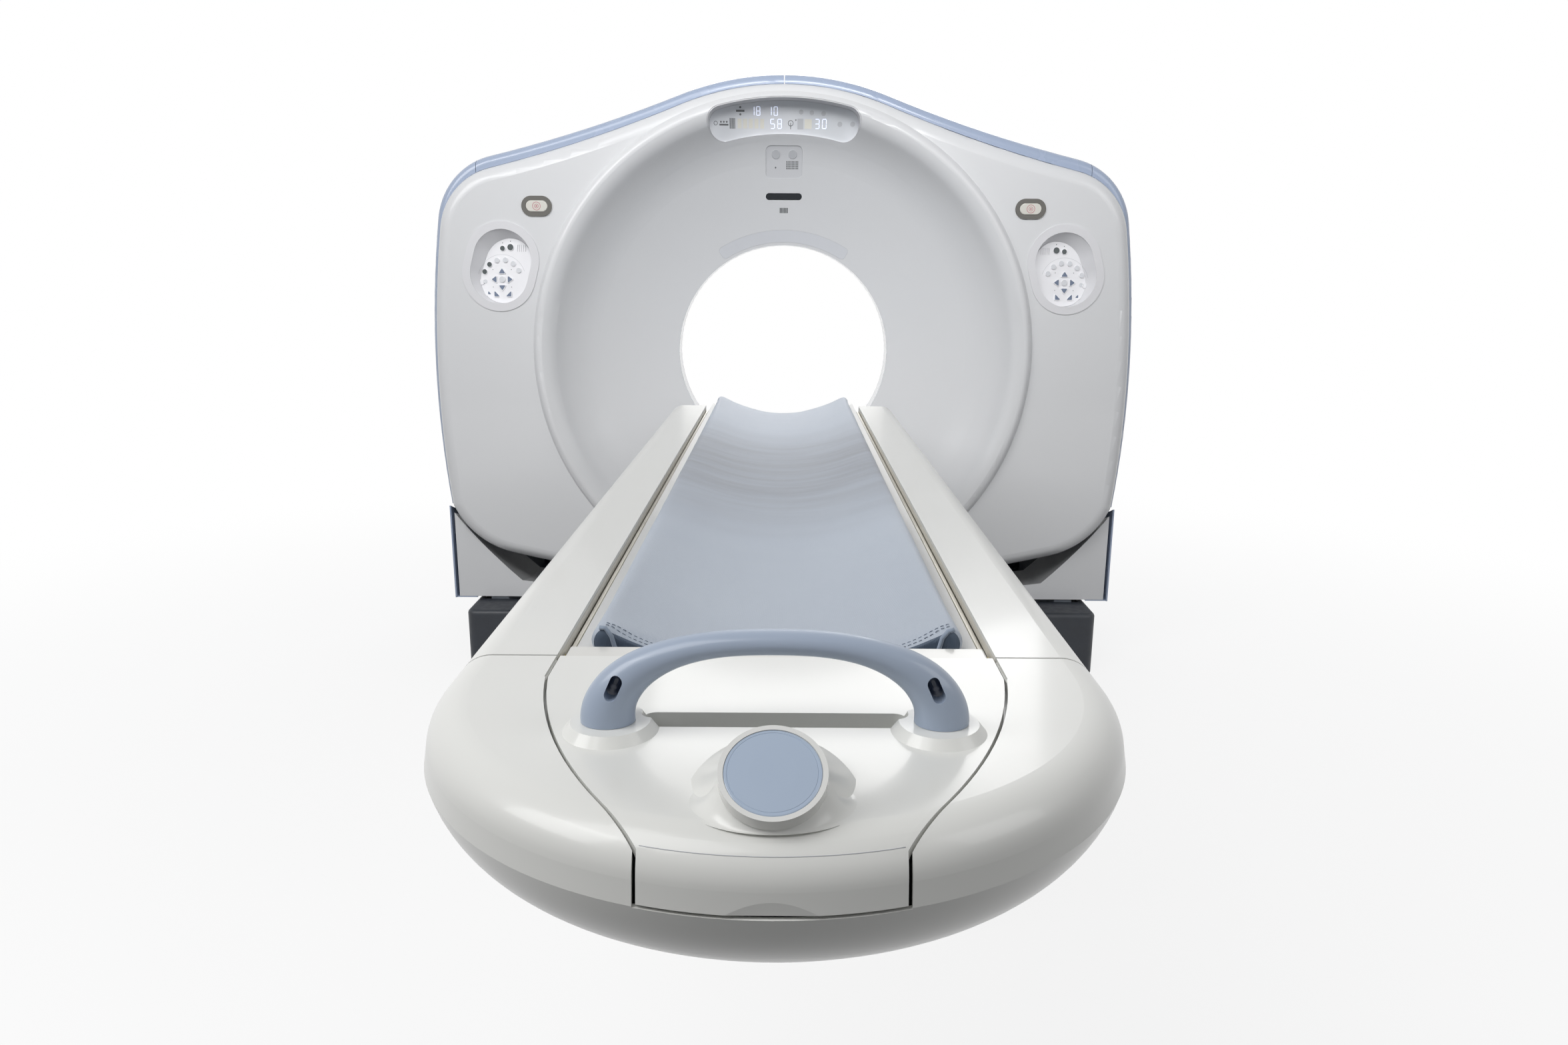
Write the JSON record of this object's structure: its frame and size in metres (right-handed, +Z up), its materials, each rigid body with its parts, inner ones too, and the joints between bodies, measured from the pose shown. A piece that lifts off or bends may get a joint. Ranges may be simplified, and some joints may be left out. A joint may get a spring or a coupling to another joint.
{
  "type": "ct scanner",
  "caption": "Whole-body CT scanner: tilting round gantry with a dished bore on a floor base, and a lifting patient table with a sliding padded cradle, pull handle and rounded foot",
  "frame": {"origin": "on the floor under the middle of the bore, in the scan plane", "axes": "+X to the right seen from the foot of the table, +Y from the foot of the table through the bore, +Z up"},
  "size_m": [2.2554, 3.5707, 1.886],
  "materials": {
    "cover_white": "smooth painted moulding",
    "rim_blue": "satin blue-grey paint",
    "base_dark": "fine textured black",
    "frame_steel": "satin grey paint",
    "bright_steel": "ground",
    "cast_iron": "cast",
    "aluminium": "anodised",
    "belt_rubber": "matt",
    "window_film": "translucent film",
    "display_tray": "matt",
    "display_glass": "clear",
    "panel_grey": "matt",
    "slot_black": "gloss",
    "inlay_grey": "matt",
    "pod_shell": "matt",
    "keypad_mat": "soft touch",
    "stop_frame": "matt",
    "stop_pad": "smooth",
    "motor_grey": "satin",
    "lead_grey": "satin",
    "table_white": "smooth painted moulding",
    "handle_blue": "satin",
    "badge_plain": "plain",
    "cradle_white": "smooth laminate",
    "pad_cloth": "fine weave",
    "strip_white": "matt"
  },
  "bodies": {
    "base": {"base_cover": "base_dark", "base_frame": "frame_steel", "lower_front_cover": "cover_white", "lower_rear_cover": "cover_white", "lower_side_left": "rim_blue", "lower_side_right": "rim_blue", "tilt_drive": "motor_grey", "trunnion_bearings": "bright_steel", "table_base": "frame_steel", "lift_gearmotor": "motor_grey", "table_cover_lower": "table_white", "floor_link": "base_dark"},
    "gantry": {"front_cover": "cover_white", "dish_cover": "cover_white", "rear_cover": "cover_white", "top_cover_left": "rim_blue", "top_cover_right": "rim_blue", "side_cover_left": "rim_blue", "side_cover_right": "rim_blue", "scan_window": "window_film", "display_housing": "display_tray", "display_lens": "display_glass", "button_panel": "panel_grey", "light_slot": "slot_black", "light_cover": "inlay_grey", "tilt_frame": "frame_steel", "bearing_race": "bright_steel", "drive_motor": "motor_grey", "drive_belt": "belt_rubber", "pod_trays": "pod_shell", "keypad_left": "keypad_mat", "keypad_right": "keypad_mat", "stop_bezels": "stop_frame"},
    "rotor": {"rotor_ring": "cast_iron", "tube_housing": "lead_grey", "collimator": "lead_grey", "detector": "lead_grey", "generator": "lead_grey", "counterweight": "lead_grey", "slip_ring": "lead_grey"},
    "pulley": {"motor_pulley": "aluminium"},
    "stop_left": {"stop_button_left": "stop_pad"},
    "stop_right": {"stop_button_right": "stop_pad"},
    "arm_outer": {"arm_outer": "motor_grey"},
    "arm_inner": {"arm_inner": "motor_grey"},
    "table_top": {"table_frame": "frame_steel", "rail_cover_left": "table_white", "rail_cover_right": "table_white", "foot_cover": "table_white", "edge_rails": "aluminium", "cradle_drive": "belt_rubber", "table_cover_upper": "table_white"},
    "cover_middle": {"table_cover_middle": "table_white"},
    "cradle": {"cradle": "cradle_white", "pad": "pad_cloth", "end_strip": "strip_white", "carriage": "motor_grey", "centre_cover": "table_white", "badge": "badge_plain", "handle": "handle_blue"}
  },
  "joints": [
    {"name": "gantry_tilt", "type": "hinge", "parent": "base", "child": "gantry", "pos_m": [0, 0, 1.035], "axis": [-1, 0, 0], "range_deg": [-30, 30]},
    {"name": "rotor_spin", "type": "hinge", "parent": "gantry", "child": "rotor", "pos_m": [0, 0, 1.035], "axis": [0, 1, 0], "continuous": true},
    {"name": "pulley_spin", "type": "hinge", "parent": "gantry", "child": "pulley", "pos_m": [0.815, 0.196, 1.452], "axis": [0, 1, 0], "continuous": true},
    {"name": "stop_left_press", "type": "slide", "parent": "gantry", "child": "stop_left", "axis": [0, 1, 0], "range_m": [0, 0.005], "stiffness_N_per_m": 1500},
    {"name": "stop_right_press", "type": "slide", "parent": "gantry", "child": "stop_right", "axis": [0, 1, 0], "range_m": [0, 0.005], "stiffness_N_per_m": 1500},
    {"name": "table_lift", "type": "hinge", "parent": "base", "child": "arm_outer", "pos_m": [0, -1.74, 0.19], "axis": [1, 0, 0], "range_deg": [-25.4, 9.8]},
    {"name": "arm_cross", "type": "hinge", "parent": "arm_outer", "child": "arm_inner", "pos_m": [0, -1.30699, 0.44], "axis": [1, 0, 0], "range_deg": [-19.7, 50.9]},
    {"name": "top_pivot", "type": "hinge", "parent": "arm_inner", "child": "table_top", "pos_m": [0, -1.74, 0.69], "axis": [1, 0, 0], "range_deg": [-25.5, 9.9]},
    {"name": "cover_slide", "type": "slide", "parent": "base", "child": "cover_middle", "axis": [0, 0, 1], "range_m": [-0.2105, 0.0815]},
    {"name": "cradle_slide", "type": "slide", "parent": "table_top", "child": "cradle", "axis": [0, 1, 0], "range_m": [0, 1.7]}
  ],
  "couplings": [
    {"joint": "pulley_spin", "follows": "rotor_spin", "ratio": 11.5},
    {"joint": "arm_cross", "follows": "table_lift", "ratio": -2},
    {"joint": "top_pivot", "follows": "table_lift", "ratio": 1},
    {"joint": "cover_slide", "follows": "table_lift", "m_per_rad": 0.4735}
  ]
}
